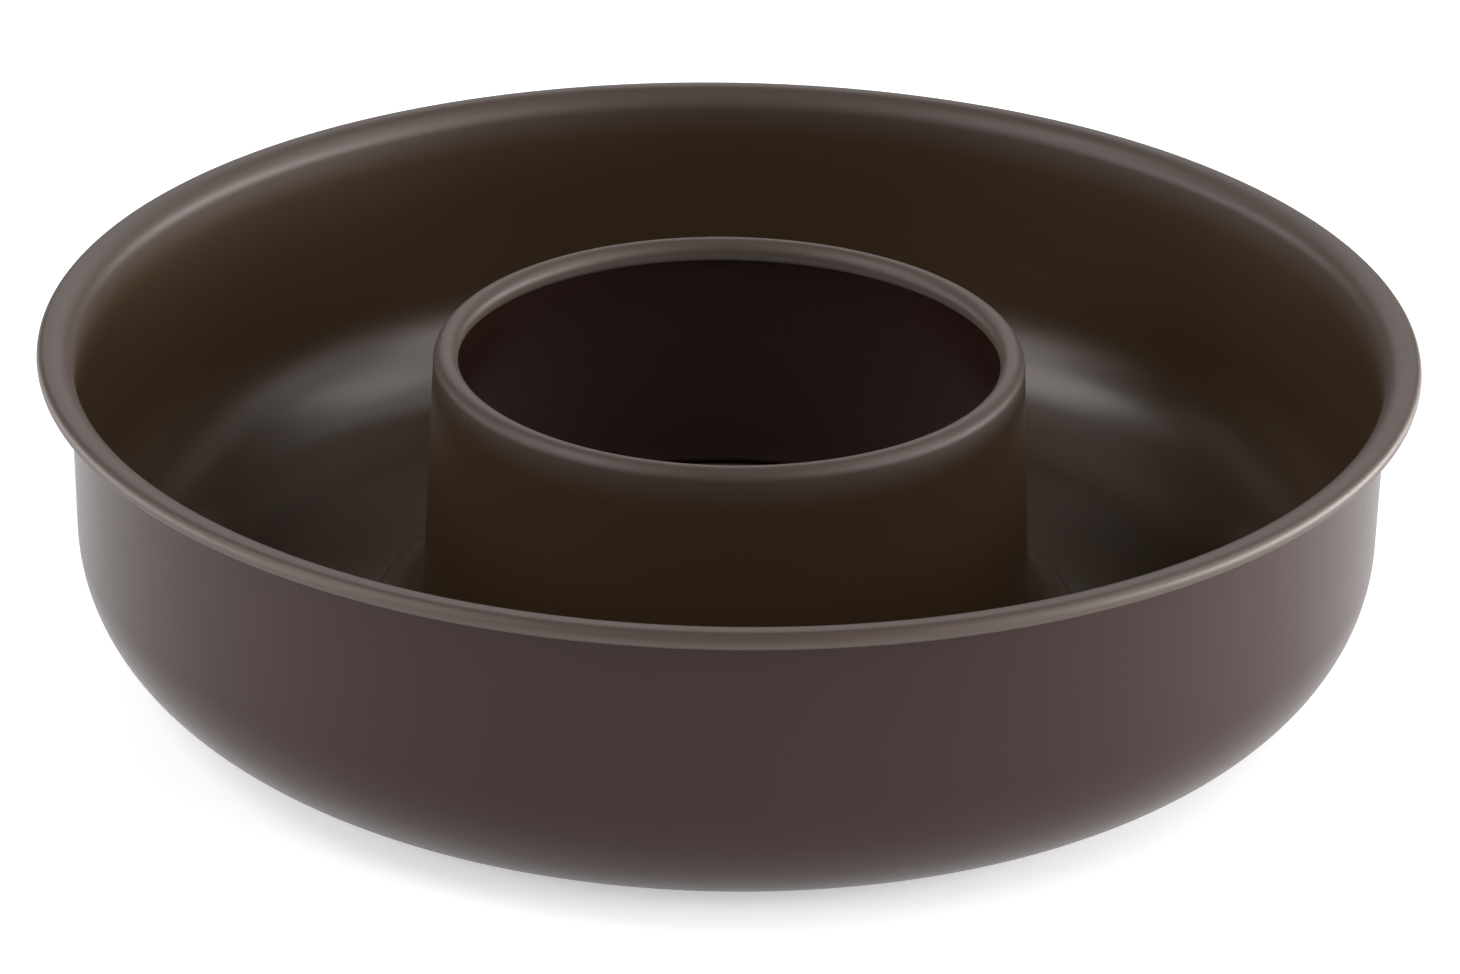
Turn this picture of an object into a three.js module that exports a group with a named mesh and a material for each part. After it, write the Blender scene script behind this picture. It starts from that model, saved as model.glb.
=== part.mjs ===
// Savarin mould: a ring-shaped baking mould of coated steel sheet, standing on its floor.
// Two pressings, a ring pan and a centre tube, each with its free edge rolled round a steel wire.
// Millimetres, +Z up, origin on the table under the middle of the mould.
import * as THREE from "three";

// Ring pan
const WALL_DIAMETER = 238.4; // outside of the upright wall
const MOULD_HEIGHT = 61.2; // table to the top of the rim
const RIM_OVERHANG = 5.8; // rolled rim edge, measured out from the wall
const RIM_FLARE_RADIUS = 4.2; // inside face, where the wall turns out into the rim
const CORNER_RADIUS = 25.8; // inside face, where the wall turns into the floor
const COLLAR_TURN = THREE.MathUtils.degToRad(60); // how far the floor turns up under the tube's foot

// Centre tube
const TUBE_DIAMETER = 108; // over the rolled lip
const LIP_DROP = 4.8; // the lip's top lies this far below the rim's
const TUBE_DRAFT = THREE.MathUtils.degToRad(3); // the tube widens towards its foot
const FOOT_RADIUS = 10; // food side of the flare from the tube on to the floor

// Sheet, wires and fits
const SHEET = 0.6;
const RIM_WIRE = 1.4;
const LIP_WIRE = 2.4;
const CLEARANCE = 0.25; // between the sheet and what it is rolled round or pressed over
const CURL_TURN = THREE.MathUtils.degToRad(270); // how far each edge is rolled round its wire

// Facets
const TURN_FACETS = 60;
const CURL_STEPS = 9;
const BEND_STEPS = 6;
const WIRE_SIDES = 8;

const QUARTER = Math.PI / 2;

// A point of the section (radius from the axis, height), at a distance from a centre.
function polar(centre, distance, angle) {
  return new THREE.Vector2(
    centre.x + distance * Math.cos(angle),
    centre.y + distance * Math.sin(angle),
  );
}

// One bend of the sheet: pairs of points on its food face and on its back, about a shared centre.
function bend(centre, faceRadius, backRadius, from, to, steps) {
  return Array.from({ length: steps + 1 }, (_, i) => {
    const angle = from + ((to - from) * i) / steps;
    return {
      face: polar(centre, faceRadius, angle),
      back: polar(centre, backRadius, angle),
    };
  });
}

// The closed outline of a sheet section. The straight stretches run from one bend to the next.
function sheetOutline(...bends) {
  const pairs = bends.flat();
  const faces = pairs.map((pair) => pair.face);
  const backs = pairs.map((pair) => pair.back).reverse();
  return [...faces, ...backs, faces[0].clone()];
}

// A closed section turned once round the Z axis.
function turned(name, outline, material) {
  const geometry = new THREE.LatheGeometry(outline, TURN_FACETS).rotateX(QUARTER);
  const mesh = new THREE.Mesh(geometry, material);
  mesh.name = name;
  return mesh;
}

const coatedSteel = new THREE.MeshStandardMaterial({
  color: 0x3a2d26,
  roughness: 0.38,
  metalness: 0.2,
});
const bareSteel = new THREE.MeshStandardMaterial({
  color: 0x8d8f92,
  roughness: 0.35,
  metalness: 1,
});

// Rolled edges. The curl's outside radius follows from its wire, the clearance and the sheet.
const rimCurlRadius = RIM_WIRE / 2 + CLEARANCE + SHEET;
const rimCurlCentre = new THREE.Vector2(
  WALL_DIAMETER / 2 + RIM_OVERHANG - rimCurlRadius,
  MOULD_HEIGHT - rimCurlRadius,
);
const lipCurlRadius = LIP_WIRE / 2 + CLEARANCE + SHEET;
const lipCurlCentre = new THREE.Vector2(
  TUBE_DIAMETER / 2 - lipCurlRadius,
  MOULD_HEIGHT - LIP_DROP - lipCurlRadius,
);

// The tube's foot flares about this centre, and the collar under it turns up about the same one.
// Its height comes from the floor and its radius from the straight side that touches both curves.
const footCentreHeight = SHEET + CLEARANCE + SHEET + FOOT_RADIUS;
const footCentre = new THREE.Vector2(
  lipCurlCentre.x +
    (lipCurlRadius +
      FOOT_RADIUS +
      (lipCurlCentre.y - footCentreHeight) * Math.sin(TUBE_DRAFT)) /
      Math.cos(TUBE_DRAFT),
  footCentreHeight,
);

// Ring pan, from the end of the rim's curl inwards to the top edge of the collar.
function ringPan() {
  const wallFace = WALL_DIAMETER / 2 - SHEET;
  const flareRadius = Math.min(RIM_FLARE_RADIUS, rimCurlCentre.x - wallFace);
  const flareCentre = new THREE.Vector2(
    wallFace + flareRadius,
    MOULD_HEIGHT - flareRadius,
  );
  const cornerRadius = Math.min(
    CORNER_RADIUS,
    wallFace - footCentre.x,
    flareCentre.y - SHEET,
  );
  const cornerCentre = new THREE.Vector2(
    wallFace - cornerRadius,
    SHEET + cornerRadius,
  );
  const collarFace = FOOT_RADIUS + SHEET + CLEARANCE;
  const collarBack = collarFace + SHEET;

  const curl = bend(
    rimCurlCentre,
    rimCurlRadius,
    rimCurlRadius - SHEET,
    QUARTER - CURL_TURN,
    QUARTER,
    CURL_STEPS,
  );
  const flare = bend(
    flareCentre,
    flareRadius,
    flareRadius - SHEET,
    QUARTER,
    2 * QUARTER,
    BEND_STEPS,
  );
  const corner = bend(
    cornerCentre,
    cornerRadius,
    cornerRadius + SHEET,
    0,
    -QUARTER,
    BEND_STEPS,
  );
  const collar = bend(
    footCentre,
    collarFace,
    collarBack,
    3 * QUARTER,
    3 * QUARTER - COLLAR_TURN,
    BEND_STEPS,
  );
  return turned(
    "ring_pan",
    sheetOutline(curl, flare, corner, collar),
    coatedSteel,
  );
}

// Centre tube, from the edge of its foot up its side and over to the end of the lip's curl.
function centreTube() {
  const foot = bend(
    footCentre,
    FOOT_RADIUS,
    FOOT_RADIUS + SHEET,
    3 * QUARTER,
    2 * QUARTER + TUBE_DRAFT,
    BEND_STEPS,
  );
  const curl = bend(
    lipCurlCentre,
    lipCurlRadius,
    lipCurlRadius - SHEET,
    TUBE_DRAFT,
    TUBE_DRAFT + CURL_TURN,
    CURL_STEPS,
  );
  return turned("centre_tube", sheetOutline(foot, curl), coatedSteel);
}

// A ring of round wire lying in a curl.
function wireRing(name, centre, diameter) {
  const outline = Array.from({ length: WIRE_SIDES + 1 }, (_, i) =>
    polar(centre, diameter / 2, (2 * Math.PI * (i % WIRE_SIDES)) / WIRE_SIDES),
  );
  return turned(name, outline, bareSteel);
}

const mould = new THREE.Group();
mould.add(
  ringPan(),
  centreTube(),
  wireRing("rim_wire", rimCurlCentre, RIM_WIRE),
  wireRing("lip_wire", lipCurlCentre, LIP_WIRE),
);

export default mould;
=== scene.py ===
"""Savarin mould: a ring-shaped baking mould of coated sheet steel, dressed round its CAD frame."""

import math

import bpy
from mathutils import Matrix, Vector


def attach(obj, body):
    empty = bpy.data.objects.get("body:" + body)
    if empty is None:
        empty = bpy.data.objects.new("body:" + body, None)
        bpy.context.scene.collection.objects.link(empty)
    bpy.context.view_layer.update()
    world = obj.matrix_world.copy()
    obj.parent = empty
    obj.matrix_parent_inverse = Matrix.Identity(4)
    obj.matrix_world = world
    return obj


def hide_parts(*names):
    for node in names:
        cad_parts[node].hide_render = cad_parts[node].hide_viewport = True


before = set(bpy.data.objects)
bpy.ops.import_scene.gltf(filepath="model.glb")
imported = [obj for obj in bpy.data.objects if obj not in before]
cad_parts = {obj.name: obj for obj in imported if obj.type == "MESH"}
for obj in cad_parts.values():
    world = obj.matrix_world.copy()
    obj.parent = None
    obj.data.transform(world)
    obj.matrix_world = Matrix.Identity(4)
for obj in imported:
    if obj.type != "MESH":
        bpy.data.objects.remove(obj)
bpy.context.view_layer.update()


# Ring pan: the mould's main piece, drawn in a press from one disc of steel sheet that is coated on
# both sides. It has the upright wall, the wide round bottom corner, the flat floor and a low collar
# round the hole in the middle. Its flared rim ends in an edge that is rolled round a wire.

MM = 0.001
# Angles in a section run from outwards, through upwards and inwards, to downwards.
QUARTER = math.pi / 2
HALF = math.pi

SHEET = 0.6 * MM
CLEARANCE = 0.25 * MM
RIM_WIRE = 1.4 * MM
MOULD_HEIGHT = 61.2 * MM
WALL_DIAMETER = 238.4 * MM
RIM_OVERHANG = 5.8 * MM
RIM_FLARE_RADIUS = 4.2 * MM
CORNER_RADIUS = 25.8 * MM
CURL_TURN = math.radians(270)

# The collar turns up about the same centre as the foot of the tube that is pressed over it. The CAD
# gives the centre's distance from the axis, where it follows from the slope of the tube's side.
COLLAR_TURN = math.radians(60)
FOOT_RADIUS = 10 * MM
FOOT_CENTRE_RADIUS = 66.27 * MM
FOOT_CENTRE_HEIGHT = 2 * SHEET + CLEARANCE + FOOT_RADIUS

# Steps along each bend of a section, and facets round the mould. A section is swept along a circle
# of TURN_RADIUS, and is moved inwards by that much first, so it keeps its own place.
CURL_STEPS = 27
FLARE_STEPS = 16
CORNER_STEPS = 36
COLLAR_STEPS = 14
EDGE_STEPS = 8
TURN_FACETS = 240
TURN_RADIUS = 100 * MM
MERGE = 0.001 * MM

# What a section's points tell the coat: the side of the sheet that they are on, and whether they are
# on a rolled edge, which gets rubbed duller and carries a painted sheen. The rubbing and the painted
# sheen fade out over a set depth below the edge.
FOOD_FACE = 1.0
BACK_FACE = 0.0
SHEET_EDGE = 0.5
RUBBED_AND_SHEEN = 1.0
UNRUBBED = 0.0
RUBBED_AND_SHEEN_DEPTH = 6 * MM


class Wire:
    """An output socket of a node tree. Sums on it add Math nodes, and node() adds any other node."""

    def __init__(self, tree, socket=None):
        self.tree = tree
        self.socket = socket

    def node(self, kind, settings=None, inputs=None, output=0):
        """Adds a node: its settings first, then the values or links of its input sockets."""
        made = self.tree.nodes.new(kind)
        for name, value in (settings or {}).items():
            setattr(made, name, value)
        for name, value in (inputs or {}).items():
            if isinstance(value, Wire):
                self.tree.links.new(value.socket, made.inputs[name])
            else:
                made.inputs[name].default_value = value
        return Wire(self.tree, made.outputs[output] if made.outputs else None)

    def math(self, operation, *values):
        return self.node("ShaderNodeMath", {"operation": operation}, dict(enumerate(values)))

    def __add__(self, other):
        return self.math("ADD", self, other)

    __radd__ = __add__

    def __sub__(self, other):
        return self.math("SUBTRACT", self, other)

    def __rsub__(self, other):
        return self.math("SUBTRACT", other, self)

    def __mul__(self, other):
        return self.math("MULTIPLY", self, other)

    __rmul__ = __mul__

    def __truediv__(self, other):
        return self.math("DIVIDE", self, other)

    def __rtruediv__(self, other):
        return self.math("DIVIDE", other, self)


def shape_group(name, inputs):
    """A Geometry Nodes tree with these named inputs, and a wire from each of them."""
    tree = bpy.data.node_groups.new(name, "GeometryNodeTree")
    tree.interface.new_socket("Geometry", in_out="OUTPUT", socket_type="NodeSocketGeometry")
    for label, kind in inputs.items():
        tree.interface.new_socket(label, in_out="INPUT", socket_type="NodeSocket" + kind)
    entry = tree.nodes.new("NodeGroupInput")
    return tree, {label: Wire(tree, entry.outputs[label]) for label in inputs}


def bend_group():
    """The group that lays one run of the section's points along a bend of the sheet."""
    tree, given = shape_group(
        "sheet_bend",
        {
            "Geometry": "Geometry",
            "First": "Int",
            "Steps": "Int",
            "Centre radius": "Float",
            "Centre height": "Float",
            "Radius": "Float",
            "From": "Float",
            "To": "Float",
            "Food side": "Float",
            "Rubbed and sheen": "Float",
        },
    )
    along = (Wire(tree).node("GeometryNodeInputIndex") - given["First"]) / given["Steps"]
    # The run's own points lie from 0 to 1 along it. The reach has a hair to spare for rounding.
    middle = 0.5
    reach = 0.5001
    inside_run = along.math("COMPARE", along, middle, reach)
    angle = given["From"] + (given["To"] - given["From"]) * along
    height = given["Centre height"] + given["Radius"] * angle.math("SINE", angle)
    # The sweep round the circle lays a section's Y axis downwards.
    place = angle.node(
        "ShaderNodeCombineXYZ",
        inputs={
            "X": given["Centre radius"] + given["Radius"] * angle.math("COSINE", angle),
            "Y": -1 * height,
        },
    )
    marked = place.node(
        "GeometryNodeSetPosition",
        inputs={"Geometry": given["Geometry"], "Selection": inside_run, "Position": place},
    )
    for label, attribute in (("Food side", "food_side"), ("Rubbed and sheen", "rubbed_and_sheen")):
        marked = marked.node(
            "GeometryNodeStoreNamedAttribute",
            {"data_type": "FLOAT", "domain": "POINT"},
            {"Geometry": marked, "Selection": inside_run, "Name": attribute, "Value": given[label]},
        )
    marked.node("NodeGroupOutput", inputs={"Geometry": marked})
    return tree


BEND_GROUP = bend_group()


def run(centre, radius, start, end, steps, side, rubbed_and_sheen=UNRUBBED):
    """The inputs of one run of section points about a centre."""
    return {
        "Centre radius": centre[0],
        "Centre height": centre[1],
        "Radius": radius,
        "From": start,
        "To": end,
        "Steps": steps,
        "Food side": side,
        "Rubbed and sheen": rubbed_and_sheen,
    }


def bend(centre, face, back, start, end, steps, rubbed_and_sheen=UNRUBBED):
    """One bend of the sheet: a run along its food face, and one along its back that returns."""
    return (
        run(centre, face, start, end, steps, FOOD_FACE, rubbed_and_sheen),
        run(centre, back, end, start, steps, BACK_FACE),
    )


def rubbed_and_sheen_end(centre, face, back, angle):
    """The place on a straight stretch where the rubbing and the painted sheen have faded out: a bend that
    doesn't turn.
    """
    return bend(centre, face, back, angle, angle, steps=1)


def sheet_outline(bends, edge_start, edge_end):
    """A sheet's closed section: its food face, the edge at the end, its back, the edge at the start."""
    faces = [face for face, back in bends]
    backs = [back for face, back in reversed(bends)]
    return [*faces, edge_end, *backs, edge_start]


def turned_sheet(name, sizes, outline, finish):
    """A sheet-metal shell turned about Z from a closed section, as a plain mesh on its own object."""
    tree, size = shape_group(name + "_shape", {label: "Float" for label in sizes})
    runs = outline(size)
    section = Wire(tree).node(
        "GeometryNodeMeshLine", inputs={"Count": sum(stretch["Steps"] + 1 for stretch in runs)}
    )
    first = 0
    for stretch in runs:
        section = section.node(
            "GeometryNodeGroup",
            {"node_tree": BEND_GROUP},
            {"Geometry": section, "First": first, **stretch},
        )
        first += stretch["Steps"] + 1
    loop = section.node("GeometryNodeMeshToCurve", inputs={"Mesh": section})
    loop = loop.node("GeometryNodeSetSplineCyclic", inputs={"Geometry": loop, "Cyclic": True})
    loop = loop.node(
        "GeometryNodeTransform", inputs={"Geometry": loop, "Translation": (-TURN_RADIUS, 0, 0)}
    )
    circle = loop.node(
        "GeometryNodeCurvePrimitiveCircle", inputs={"Resolution": TURN_FACETS, "Radius": TURN_RADIUS}
    )
    shell = loop.node("GeometryNodeCurveToMesh", inputs={"Curve": circle, "Profile Curve": loop})
    shell = shell.node("GeometryNodeFlipFaces", inputs={"Mesh": shell})
    shell = shell.node("GeometryNodeMergeByDistance", inputs={"Geometry": shell, "Distance": MERGE})
    shell = shell.node("GeometryNodeSetShadeSmooth", inputs={"Geometry": shell, "Shade Smooth": True})
    shell = shell.node("GeometryNodeRealizeInstances", inputs={"Geometry": shell})
    shell = shell.node("GeometryNodeSetMaterial", inputs={"Geometry": shell, "Material": finish})
    shell.node("NodeGroupOutput", inputs={"Geometry": shell})

    piece = bpy.data.objects.new(name, bpy.data.meshes.new(name))
    bpy.context.scene.collection.objects.link(piece)
    turning = piece.modifiers.new("turning", "NODES")
    turning.node_group = tree
    for socket in tree.interface.items_tree:
        if socket.in_out == "INPUT":
            turning[socket.identifier] = sizes[socket.name]
    evaluated = piece.evaluated_get(bpy.context.evaluated_depsgraph_get())
    mesh = bpy.data.meshes.new_from_object(evaluated)
    piece.modifiers.remove(turning)
    piece.data = mesh
    return piece


def pan_outline(size):
    """The pan's section, from the edge hidden in the rim's curl inwards to the collar's top edge."""
    sheet = size["Sheet"]
    wall_face = size["Wall diameter"] / 2 - sheet
    curl = size["Rim curl radius"]
    flare = size["Rim flare radius"]
    corner = size["Corner radius"]
    collar = size["Collar radius"]
    height = size["Height"]
    curl_centre = (wall_face + sheet + size["Rim overhang"] - curl, height - curl)
    flare_centre = (wall_face + flare, height - flare)
    below_rim = (flare_centre[0], flare_centre[1] - RUBBED_AND_SHEEN_DEPTH)
    corner_centre = (wall_face - corner, sheet + corner)
    foot_centre = (size["Foot centre radius"], size["Foot centre height"])
    collar_end = 3 * QUARTER - COLLAR_TURN
    bends = [
        bend(curl_centre, curl, curl - sheet, QUARTER - CURL_TURN, QUARTER, CURL_STEPS, RUBBED_AND_SHEEN),
        bend(flare_centre, flare, flare - sheet, QUARTER, HALF, FLARE_STEPS, RUBBED_AND_SHEEN),
        rubbed_and_sheen_end(below_rim, flare, flare - sheet, HALF),
        bend(corner_centre, corner, corner + sheet, 0.0, -QUARTER, CORNER_STEPS),
        bend(foot_centre, collar, collar + sheet, 3 * QUARTER, collar_end, COLLAR_STEPS),
    ]
    edge = sheet / 2
    in_curl = (curl_centre[0] - (curl - edge), curl_centre[1])
    collar_middle = collar + edge
    collar_top = (
        foot_centre[0] + collar_middle * math.cos(collar_end),
        foot_centre[1] + collar_middle * math.sin(collar_end),
    )
    return sheet_outline(
        bends,
        edge_start=run(in_curl, edge, 0.0, HALF, EDGE_STEPS, SHEET_EDGE),
        edge_end=run(collar_top, edge, collar_end - HALF, collar_end, EDGE_STEPS, SHEET_EDGE),
    )


# The coat's colours, the index of refraction that sets the strength of its gloss on each side, and
# the tint of that gloss.
FOOD_COLOUR = (0.0465, 0.0268, 0.0135, 1)
# The rolled edges' paler grey is partly rubbed wear and partly a painted sheen.
RUBBED_AND_SHEEN_COLOUR = (0.049, 0.033, 0.026, 1)
OUTSIDE_COLOUR = (0.026, 0.0128, 0.0117)
FOOD_IOR = 1.5
OUTSIDE_IOR = 1.3
GLOSS_TINT = (1.0, 0.93, 0.91, 1.0)

# What varies over the coat: slow clouds from the spraying, the fine peel of its skin and the dust-fine
# pigment in it. They shade its colour and change its roughness by these shares.
CLOUDS_PER_METRE = 32.0
PEEL_PER_METRE = 900.0
PIGMENT_PER_METRE = 2600.0
NOISE_MIDDLE = 0.5
CLOUD_SHADE = 0.12
PIGMENT_SHADE = 0.16
SATIN_ROUGHNESS = 0.3
CLOUD_DULLING = 0.06
PEEL_DULLING = 0.05
RUBBED_DULLING = 0.2
PEEL_DEPTH = 0.012 * MM
PEEL_STRENGTH = 0.35


def new_finish(name):
    """An empty material, and a wire that gives each point's place on the piece."""
    finish = bpy.data.materials.new(name)
    finish.use_nodes = True
    finish.node_tree.nodes.clear()
    return finish, Wire(finish.node_tree).node("ShaderNodeTexCoord", output="Object")


def noise(place, scale, detail):
    """Even noise from 0 to 1, with about this many waves to the metre."""
    inputs = {"Vector": place, "Scale": scale, "Detail": detail}
    return place.node("ShaderNodeTexNoise", inputs=inputs, output="Fac")


def satin_coat(name, back_colour, back_ior):
    """The baked-on non-stick coat: olive brown and glossier on the food side, redder and duller behind."""
    finish, place = new_finish(name)
    food_side = place.node("ShaderNodeAttribute", {"attribute_name": "food_side"}, output="Fac")
    rubbed_and_sheen = place.node("ShaderNodeAttribute", {"attribute_name": "rubbed_and_sheen"}, output="Fac")
    cloud = noise(place, CLOUDS_PER_METRE, detail=3.0) - NOISE_MIDDLE
    peel = noise(place, PEEL_PER_METRE, detail=2.0) - NOISE_MIDDLE
    pigment = noise(place, PIGMENT_PER_METRE, detail=1.0) - NOISE_MIDDLE
    shade = 1 + cloud * CLOUD_SHADE + pigment * PIGMENT_SHADE
    shade_colour = place.node("ShaderNodeCombineXYZ", inputs={"X": shade, "Y": shade, "Z": shade})
    roughness = SATIN_ROUGHNESS + cloud * CLOUD_DULLING + peel * PEEL_DULLING + rubbed_and_sheen * RUBBED_DULLING
    skin = place.node(
        "ShaderNodeBump", inputs={"Strength": PEEL_STRENGTH, "Distance": PEEL_DEPTH, "Height": peel}
    )
    # The rolled edges are rubbed duller, and their colour is made paler and greyer, partly as rubbed wear
    # and partly as a painted sheen; this fades out just below them.
    food_colour = place.node(
        "ShaderNodeMix",
        {"data_type": "RGBA"},
        {"Factor": rubbed_and_sheen, "A": FOOD_COLOUR, "B": RUBBED_AND_SHEEN_COLOUR},
        output="Result",
    )
    sides = []
    for colour, ior in ((back_colour, back_ior), (food_colour, FOOD_IOR)):
        tone = place.node(
            "ShaderNodeVectorMath", {"operation": "MULTIPLY"}, {0: colour, 1: shade_colour}
        )
        side = place.node(
            "ShaderNodeBsdfPrincipled",
            inputs={
                "Base Color": tone,
                "Roughness": roughness,
                "IOR": ior,
                "Specular Tint": GLOSS_TINT,
                "Normal": skin,
            },
        )
        sides.append(side)
    surface = place.node("ShaderNodeMixShader", inputs={0: food_side, 1: sides[0], 2: sides[1]})
    surface.node("ShaderNodeOutputMaterial", inputs={"Surface": surface})
    return finish


PAN_COAT = satin_coat("satin_brown_coat", OUTSIDE_COLOUR, OUTSIDE_IOR)

ring_pan = turned_sheet(
    "ring_pan_shell",
    {
        "Height": MOULD_HEIGHT,
        "Wall diameter": WALL_DIAMETER,
        "Rim overhang": RIM_OVERHANG,
        "Rim flare radius": RIM_FLARE_RADIUS,
        "Rim curl radius": RIM_WIRE / 2 + CLEARANCE + SHEET,
        "Corner radius": CORNER_RADIUS,
        "Foot centre radius": FOOT_CENTRE_RADIUS,
        "Foot centre height": FOOT_CENTRE_HEIGHT,
        "Collar radius": FOOT_RADIUS + SHEET + CLEARANCE,
        "Sheet": SHEET,
    },
    pan_outline,
    PAN_COAT,
)
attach(ring_pan, "root")
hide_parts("ring_pan")


# Centre tube: a second pressing, pushed over the pan's collar so that its flared foot sits on the
# floor. It is coated like the pan, but its bore is painted nearly black and dull as painted shade. The
# lip at its top is rolled inwards, a little loosely, round a wire, which leaves the bore open for hot air.

TUBE_DIAMETER = 108 * MM
TUBE_DRAFT = math.radians(3)
LIP_WIRE = 2.4 * MM
LIP_DROP = 4.95 * MM
LIP_SLACK = 0.2 * MM
FOOT_STEPS = 24
# The bore's near-black colour and its weak gloss are painted shade for the deep, shadowed bore.
BORE_PAINTED_SHADE_COLOUR = (0.0165, 0.0062, 0.0048)
BORE_IOR = 1.15


def tube_outline(size):
    """The tube's section, from the edge of its foot up its side and round to the end of the lip's curl."""
    sheet = size["Sheet"]
    curl = size["Lip curl radius"]
    foot = size["Foot radius"]
    foot_centre = (size["Foot centre radius"], size["Foot centre height"])
    curl_centre = (size["Tube diameter"] / 2 - curl, size["Lip height"] - curl)
    curl_end = TUBE_DRAFT + CURL_TURN
    below_lip = (curl_centre[0] + RUBBED_AND_SHEEN_DEPTH * math.tan(TUBE_DRAFT), curl_centre[1] - RUBBED_AND_SHEEN_DEPTH)
    bends = [
        bend(foot_centre, foot, foot + sheet, 3 * QUARTER, HALF + TUBE_DRAFT, FOOT_STEPS),
        rubbed_and_sheen_end(below_lip, curl, curl - sheet, TUBE_DRAFT),
        bend(curl_centre, curl, curl - sheet, TUBE_DRAFT, curl_end, CURL_STEPS, RUBBED_AND_SHEEN),
    ]
    edge = sheet / 2
    curl_middle = curl - edge
    in_curl = (
        curl_centre[0] + curl_middle * math.cos(curl_end),
        curl_centre[1] + curl_middle * math.sin(curl_end),
    )
    foot_edge = (foot_centre[0], foot_centre[1] - (foot + edge))
    return sheet_outline(
        bends,
        edge_start=run(foot_edge, edge, -QUARTER, QUARTER, EDGE_STEPS, SHEET_EDGE),
        edge_end=run(in_curl, edge, curl_end, curl_end + HALF, EDGE_STEPS, SHEET_EDGE),
    )


# The tube's bore side gets the painted shade colour.
TUBE_COAT = satin_coat("bore_painted_shade_coat", BORE_PAINTED_SHADE_COLOUR, BORE_IOR)

centre_tube = turned_sheet(
    "centre_tube_shell",
    {
        "Tube diameter": TUBE_DIAMETER,
        "Lip height": MOULD_HEIGHT - LIP_DROP,
        "Lip curl radius": LIP_WIRE / 2 + CLEARANCE + LIP_SLACK + SHEET,
        "Foot radius": FOOT_RADIUS,
        "Foot centre radius": FOOT_CENTRE_RADIUS,
        "Foot centre height": FOOT_CENTRE_HEIGHT,
        "Sheet": SHEET,
    },
    tube_outline,
    TUBE_COAT,
)
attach(centre_tube, "root")
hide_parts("centre_tube")


# Bead wires: two rings of plain drawn steel wire, one inside the rolled rim and one inside the rolled
# lip. They keep the thin edges round and stiff, and show only from below, through the gap of a curl.

LINES_PER_METRE = 6000.0
DARK_STEEL = (0.38, 0.38, 0.39, 1)
LIGHT_STEEL = (0.62, 0.62, 0.61, 1)
STEEL_ROUGHNESS = 0.25
LINE_DULLING = 0.2


def drawn_wire():
    """Bare steel with the fine lengthwise lines that the drawing die leaves."""
    finish, place = new_finish("drawn_steel_wire")
    # A line keeps its height and its distance from the middle of the mould all the way round.
    radius = place.node("ShaderNodeVectorMath", {"operation": "LENGTH"}, {0: place}, output="Value")
    height = place.node("ShaderNodeSeparateXYZ", inputs={"Vector": place}, output="Z")
    across = place.node("ShaderNodeCombineXYZ", inputs={"X": radius, "Y": height})
    lines = noise(across, LINES_PER_METRE, detail=2.0)
    tint = place.node(
        "ShaderNodeMix",
        {"data_type": "RGBA"},
        {"Factor": lines, "A": DARK_STEEL, "B": LIGHT_STEEL},
        output="Result",
    )
    roughness = STEEL_ROUGHNESS + lines * LINE_DULLING
    surface = place.node(
        "ShaderNodeBsdfPrincipled",
        inputs={"Base Color": tint, "Metallic": 1.0, "Roughness": roughness},
    )
    surface.node("ShaderNodeOutputMaterial", inputs={"Surface": surface})
    return finish


STEEL = drawn_wire()
for name in ("rim_wire", "lip_wire"):
    wire_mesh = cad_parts[name].data
    wire_mesh.materials.clear()
    wire_mesh.materials.append(STEEL)


# Studio: the mould stands on a white table that glows a little, in a dim white room. Soft boxes of
# several sizes stand round it, the brightest ones low at its two sides. The camera is in front, has a
# long lens and looks down over the near rim.

TABLE_REACH = 4.0
TABLE_DROP = 0.2 * MM
TABLE_COLOUR = (0.9, 0.9, 0.9, 1)
TABLE_ROUGHNESS = 0.8
TABLE_GLOW = 0.42
ROOM_GLOW = 0.03
WHITE = (1, 1, 1, 1)
BOX_DISTANCE = 1.6

IMAGE_WIDTH = 1460
FOCAL_PIXELS = 4621
SENSOR_WIDTH = 36
CAMERA_DISTANCE = 855 * MM
CAMERA_ELEVATION = math.radians(25.45)
CAMERA_ROLL = math.radians(0.97)
CAMERA_AIM = Vector((0.53, 0.0, 27.74)) * MM


def table_top():
    """A wide plain white surface just under the mould. Its glow lightens the mould's lower wall."""
    signs = ((-1, -1), (1, -1), (1, 1), (-1, 1))
    corners = [(x * TABLE_REACH, y * TABLE_REACH, -TABLE_DROP) for x, y in signs]
    mesh = bpy.data.meshes.new("table")
    mesh.from_pydata(corners, [], [(0, 1, 2, 3)])
    finish = bpy.data.materials.new("white_table")
    finish.use_nodes = True
    surface = finish.node_tree.nodes["Principled BSDF"]
    surface.inputs["Base Color"].default_value = TABLE_COLOUR
    surface.inputs["Roughness"].default_value = TABLE_ROUGHNESS
    surface.inputs["Emission Color"].default_value = WHITE
    surface.inputs["Emission Strength"].default_value = TABLE_GLOW
    mesh.materials.append(finish)
    table = bpy.data.objects.new("table", mesh)
    bpy.context.scene.collection.objects.link(table)
    return table


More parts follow.
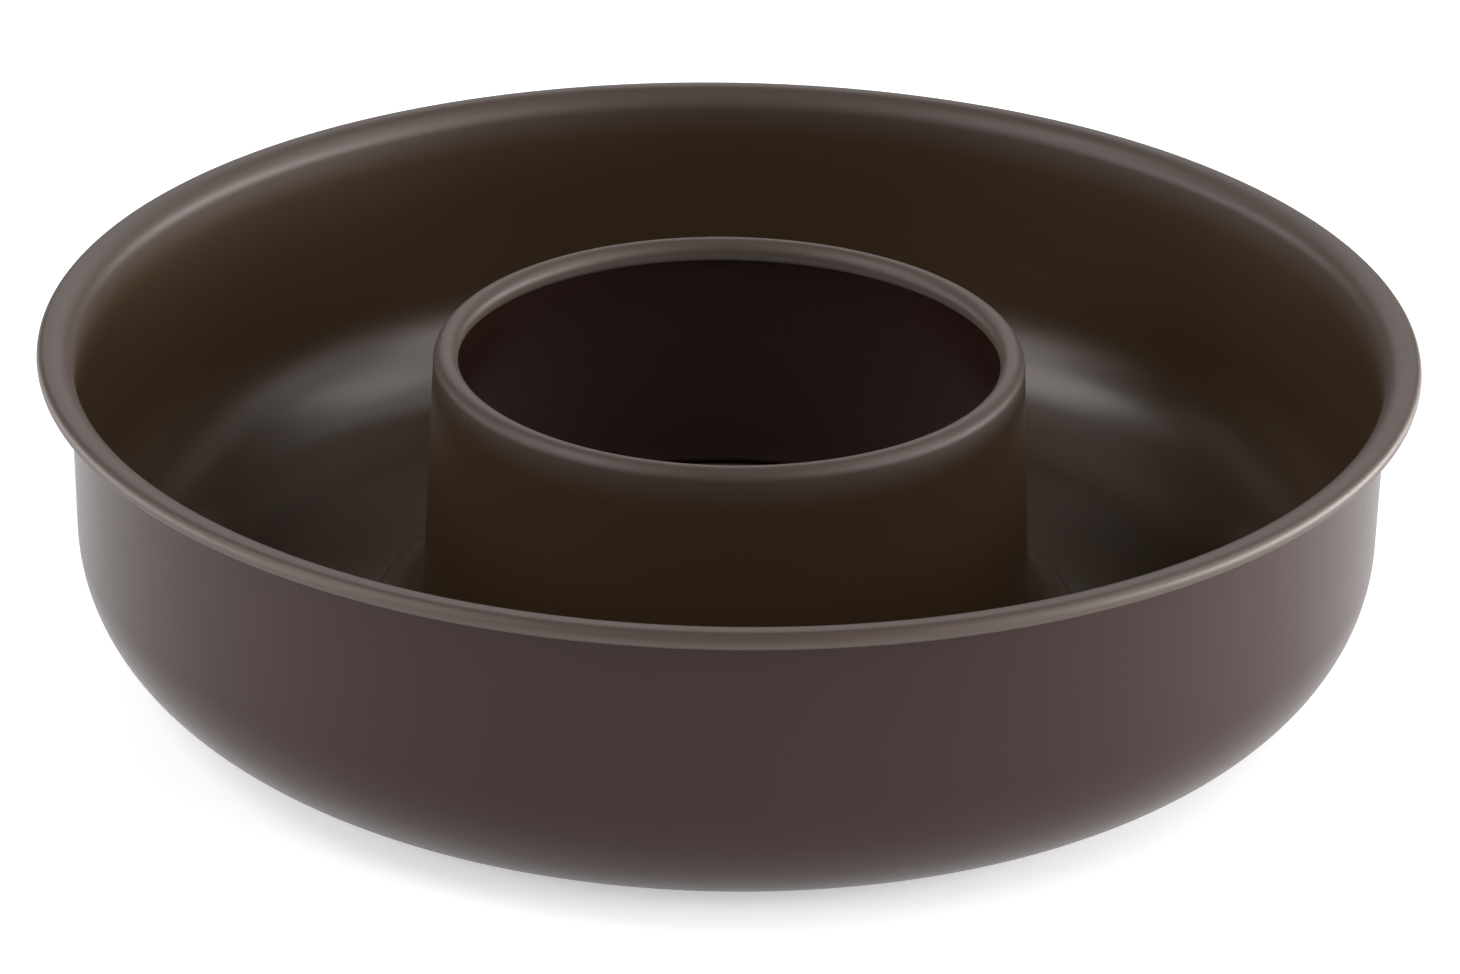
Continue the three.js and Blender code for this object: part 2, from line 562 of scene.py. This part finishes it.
def soft_box(name, azimuth, elevation, width, height, brightness):
    """A soft box that faces the mould. Azimuth 0 is behind the mould, and 90 is at its right.

    Width and height are the degrees that the box spans as seen from the mould. Brightness is that of
    its face, whatever its size.
    """
    data = bpy.data.lights.new(name, "AREA")
    data.shape = "RECTANGLE"
    data.size = 2 * BOX_DISTANCE * math.tan(math.radians(width / 2))
    data.size_y = 2 * BOX_DISTANCE * math.tan(math.radians(height / 2))
    data.energy = brightness * math.pi * data.size * data.size_y
    light = bpy.data.objects.new(name, data)
    light.visible_camera = False
    bpy.context.scene.collection.objects.link(light)
    level = math.cos(math.radians(elevation))
    away = Vector(
        (
            math.sin(math.radians(azimuth)) * level,
            math.cos(math.radians(azimuth)) * level,
            math.sin(math.radians(elevation)),
        )
    )
    light.location = away * BOX_DISTANCE
    light.rotation_euler = away.to_track_quat("Z", "Y").to_euler()


table_top()
soft_box("back_sweep", azimuth=0, elevation=28, width=50, height=22, brightness=2.35)
soft_box("overhead_box", azimuth=0, elevation=89.9, width=34, height=34, brightness=0.12)
soft_box("front_low_box", azimuth=180, elevation=20, width=80, height=20, brightness=0.3)
soft_box("front_side_right", azimuth=128, elevation=30, width=30, height=18, brightness=5.2)
soft_box("front_side_left", azimuth=-128, elevation=30, width=30, height=18, brightness=4.8)
soft_box("back_side_right", azimuth=62, elevation=14, width=34, height=28, brightness=0.7)
soft_box("back_side_left", azimuth=-62, elevation=14, width=34, height=28, brightness=0.4)
soft_box("low_box_right", azimuth=86, elevation=5, width=64, height=10, brightness=29)
soft_box("low_box_left", azimuth=-86, elevation=5, width=64, height=10, brightness=11)
soft_box("side_box_right", azimuth=100, elevation=22, width=40, height=20, brightness=1.8)
soft_box("side_box_left", azimuth=-112, elevation=22, width=24, height=20, brightness=1.8)
soft_box("top_box_right", azimuth=95, elevation=46, width=32, height=22, brightness=3.4)
soft_box("top_box_left", azimuth=-101, elevation=50, width=28, height=24, brightness=5.4)
soft_box("high_box_right", azimuth=72, elevation=60, width=30, height=20, brightness=1.8)
soft_box("high_box_left", azimuth=-65, elevation=62, width=34, height=16, brightness=0.8)

room = bpy.data.worlds.new("dim_room")
room.use_nodes = True
room_light = room.node_tree.nodes["Background"]
room_light.inputs["Color"].default_value = WHITE
room_light.inputs["Strength"].default_value = ROOM_GLOW
bpy.context.scene.world = room
bpy.context.scene.view_settings.view_transform = "Standard"

back = Vector((0, -math.cos(CAMERA_ELEVATION), math.sin(CAMERA_ELEVATION)))
upright = Vector((0, math.sin(CAMERA_ELEVATION), math.cos(CAMERA_ELEVATION)))
level = Vector((1, 0, 0))
camera_x = math.cos(CAMERA_ROLL) * level + math.sin(CAMERA_ROLL) * upright
camera_y = math.cos(CAMERA_ROLL) * upright - math.sin(CAMERA_ROLL) * level
lens = bpy.data.cameras.new("camera")
lens.sensor_width = SENSOR_WIDTH
lens.lens = FOCAL_PIXELS / IMAGE_WIDTH * SENSOR_WIDTH
camera = bpy.data.objects.new("camera", lens)
bpy.context.scene.collection.objects.link(camera)
turn = Matrix((camera_x, camera_y, back)).transposed().to_4x4()
camera.matrix_world = Matrix.Translation(CAMERA_AIM + back * CAMERA_DISTANCE) @ turn
bpy.context.scene.camera = camera
